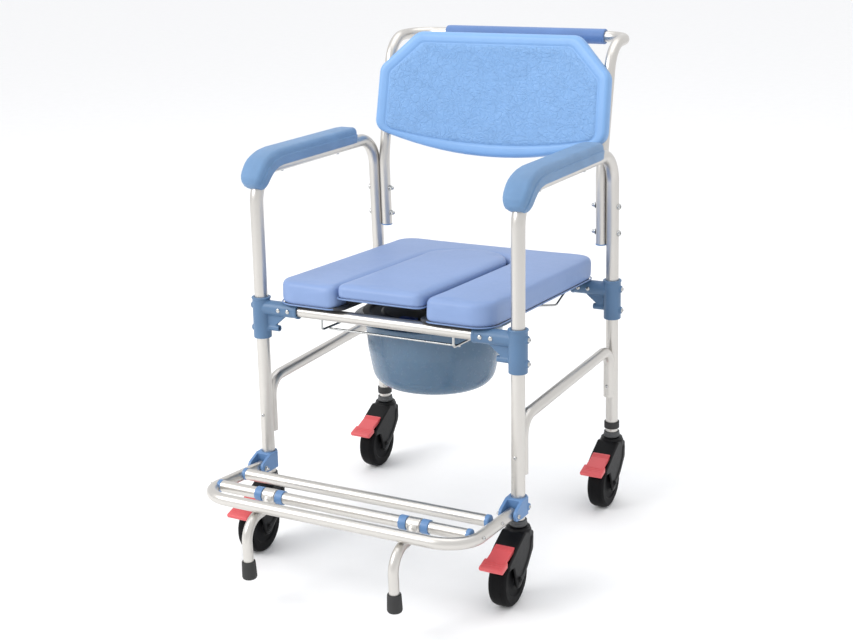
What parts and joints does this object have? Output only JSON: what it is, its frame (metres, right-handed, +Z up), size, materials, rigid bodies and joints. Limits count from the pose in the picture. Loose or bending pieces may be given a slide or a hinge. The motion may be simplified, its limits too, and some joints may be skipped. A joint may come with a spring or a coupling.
{
  "type": "commode chair",
  "caption": "Wheeled shower commode chair with tube frame, padded seat and lift-out insert over a sliding pan, moulded back and folding footrest.",
  "frame": {"origin": "on the floor under the middle of the chair's overall length and width", "axes": "+Z up, the sitter faces -Y, the sitter's left is +X"},
  "size_m": [0.594, 0.9042, 0.9524],
  "materials": {
    "tube": "satin anodised",
    "connector": "fine moulded, satin",
    "bracket": "fine moulded, satin",
    "armrest": "soft moulded foam skin",
    "panel": "wrinkle-grained moulded foam",
    "seat": "coated fabric, low gloss",
    "board": "dark sealed board",
    "grip": "soft foam sleeve",
    "pan": "semi-gloss moulded",
    "lid": "satin",
    "steel": "bright zinc plated",
    "black": "satin nylon",
    "tyre": "smooth solid tyre",
    "pedal": "satin",
    "grey": "matt"
  },
  "bodies": {
    "frame": {"front_seat_rail": "tube", "rear_seat_rail": "tube", "front_left_connector": "connector", "front_right_connector": "connector", "rear_left_connector": "connector", "rear_right_connector": "connector", "left_side_frame": "tube", "left_side_brace": "tube", "left_armrest_pad": "armrest", "left_back_bolt_upper": "steel", "left_back_bolt_lower": "steel", "left_footrest_bracket": "bracket", "left_footrest_pivot_bolt": "steel", "rear_left_height_clip": "grey", "right_side_frame": "tube", "right_side_brace": "tube", "right_armrest_pad": "armrest", "right_back_bolt_upper": "steel", "right_back_bolt_lower": "steel", "right_footrest_bracket": "bracket", "right_footrest_pivot_bolt": "steel", "rear_right_height_clip": "grey", "backrest_frame": "tube", "backrest_panel": "panel", "push_grip": "grip", "seat_board": "board", "seat_cushion": "seat", "pan_rack": "steel"},
    "seat_insert": {"insert_board": "board", "insert_cushion": "seat"},
    "pan": {"commode_pan": "pan"},
    "lid": {"pan_lid": "lid"},
    "bail": {"pan_bail": "steel"},
    "footrest": {"footrest_frame": "tube", "footrest_rear_bar": "tube", "footrest_front_bar": "tube"},
    "left_footrest_leg": {"left_footrest_leg": "tube", "left_leg_tip": "grey"},
    "right_footrest_leg": {"right_footrest_leg": "tube", "right_leg_tip": "grey"},
    "front_left_leg": {"front_left_inner_leg": "tube"},
    "front_left_caster": {"front_left_caster_fork": "black", "front_left_caster_axle": "steel"},
    "front_left_wheel": {"front_left_caster_wheel": "tyre"},
    "front_left_pedal": {"front_left_brake_pedal": "pedal"},
    "front_right_leg": {"front_right_inner_leg": "tube"},
    "front_right_caster": {"front_right_caster_fork": "black", "front_right_caster_axle": "steel"},
    "front_right_wheel": {"front_right_caster_wheel": "tyre"},
    "front_right_pedal": {"front_right_brake_pedal": "pedal"},
    "rear_left_leg": {"rear_left_inner_leg": "tube"},
    "rear_left_caster": {"rear_left_caster_fork": "black", "rear_left_caster_axle": "steel"},
    "rear_left_wheel": {"rear_left_caster_wheel": "tyre"},
    "rear_left_pedal": {"rear_left_brake_pedal": "pedal"},
    "rear_right_leg": {"rear_right_inner_leg": "tube"},
    "rear_right_caster": {"rear_right_caster_fork": "black", "rear_right_caster_axle": "steel"},
    "rear_right_wheel": {"rear_right_caster_wheel": "tyre"},
    "rear_right_pedal": {"rear_right_brake_pedal": "pedal"}
  },
  "joints": [
    {"name": "insert_lift", "type": "slide", "parent": "frame", "child": "seat_insert", "axis": [0, 0.0683, 0.9977], "range_m": [0, 0.15]},
    {"name": "pan_slide", "type": "slide", "parent": "frame", "child": "pan", "axis": [0, 0.9977, -0.0683], "range_m": [0, 0.43]},
    {"name": "lid_lift", "type": "slide", "parent": "pan", "child": "lid", "axis": [0, 0.0683, 0.9977], "range_m": [0, 0.022]},
    {"name": "bail_swing", "type": "hinge", "parent": "pan", "child": "bail", "pos_m": [0, 0.02153, 0.4462], "axis": [1, 0, 0], "range_deg": [0, 12]},
    {"name": "footrest_fold", "type": "hinge", "parent": "frame", "child": "footrest", "pos_m": [0, -0.22235, 0.169], "axis": [-1, 0, 0], "range_deg": [0, 85]},
    {"name": "left_footrest_leg_swing", "type": "hinge", "parent": "footrest", "child": "left_footrest_leg", "pos_m": [0.151, -0.35435, 0.185], "axis": [1, 0, 0], "range_deg": [0, 100]},
    {"name": "right_footrest_leg_swing", "type": "hinge", "parent": "footrest", "child": "right_footrest_leg", "pos_m": [-0.151, -0.35435, 0.185], "axis": [1, 0, 0], "range_deg": [0, 100]},
    {"name": "front_left_leg_height", "type": "slide", "parent": "frame", "child": "front_left_leg", "axis": [0, -0.0349, -0.9994], "range_m": [0, 0.1]},
    {"name": "front_left_caster_swivel", "type": "hinge", "parent": "front_left_leg", "child": "front_left_caster", "pos_m": [0.27, -0.18654, 0.14037], "axis": [0, 0.0349, 0.9994], "continuous": true},
    {"name": "front_left_wheel_spin", "type": "hinge", "parent": "front_left_caster", "child": "front_left_wheel", "pos_m": [0.27, -0.23463, 0.0525], "axis": [1, 0, 0], "continuous": true},
    {"name": "front_left_brake_press", "type": "hinge", "parent": "front_left_caster", "child": "front_left_pedal", "pos_m": [0.27, -0.24562, 0.11042], "axis": [1, 0, 0], "range_deg": [0, 12]},
    {"name": "front_right_leg_height", "type": "slide", "parent": "frame", "child": "front_right_leg", "axis": [0, -0.0349, -0.9994], "range_m": [0, 0.1]},
    {"name": "front_right_caster_swivel", "type": "hinge", "parent": "front_right_leg", "child": "front_right_caster", "pos_m": [-0.27, -0.18654, 0.14037], "axis": [0, 0.0349, 0.9994], "continuous": true},
    {"name": "front_right_wheel_spin", "type": "hinge", "parent": "front_right_caster", "child": "front_right_wheel", "pos_m": [-0.27, -0.23463, 0.0525], "axis": [1, 0, 0], "continuous": true},
    {"name": "front_right_brake_press", "type": "hinge", "parent": "front_right_caster", "child": "front_right_pedal", "pos_m": [-0.27, -0.24562, 0.11042], "axis": [1, 0, 0], "range_deg": [0, 12]},
    {"name": "rear_left_leg_height", "type": "slide", "parent": "frame", "child": "rear_left_leg", "axis": [0, 0, -1], "range_m": [0, 0.1]},
    {"name": "rear_left_caster_swivel", "type": "hinge", "parent": "rear_left_leg", "child": "rear_left_caster", "pos_m": [0.27, 0.27665, 0.142], "axis": [0, 0, 1], "continuous": true},
    {"name": "rear_left_wheel_spin", "type": "hinge", "parent": "rear_left_caster", "child": "rear_left_wheel", "pos_m": [0.27, 0.23165, 0.0525], "axis": [1, 0, 0], "continuous": true},
    {"name": "rear_left_brake_press", "type": "hinge", "parent": "rear_left_caster", "child": "rear_left_pedal", "pos_m": [0.27, 0.21865, 0.11], "axis": [1, 0, 0], "range_deg": [0, 12]},
    {"name": "rear_right_leg_height", "type": "slide", "parent": "frame", "child": "rear_right_leg", "axis": [0, 0, -1], "range_m": [0, 0.1]},
    {"name": "rear_right_caster_swivel", "type": "hinge", "parent": "rear_right_leg", "child": "rear_right_caster", "pos_m": [-0.27, 0.27665, 0.142], "axis": [0, 0, 1], "continuous": true},
    {"name": "rear_right_wheel_spin", "type": "hinge", "parent": "rear_right_caster", "child": "rear_right_wheel", "pos_m": [-0.27, 0.23165, 0.0525], "axis": [1, 0, 0], "continuous": true},
    {"name": "rear_right_brake_press", "type": "hinge", "parent": "rear_right_caster", "child": "rear_right_pedal", "pos_m": [-0.27, 0.21865, 0.11], "axis": [1, 0, 0], "range_deg": [0, 12]}
  ]
}
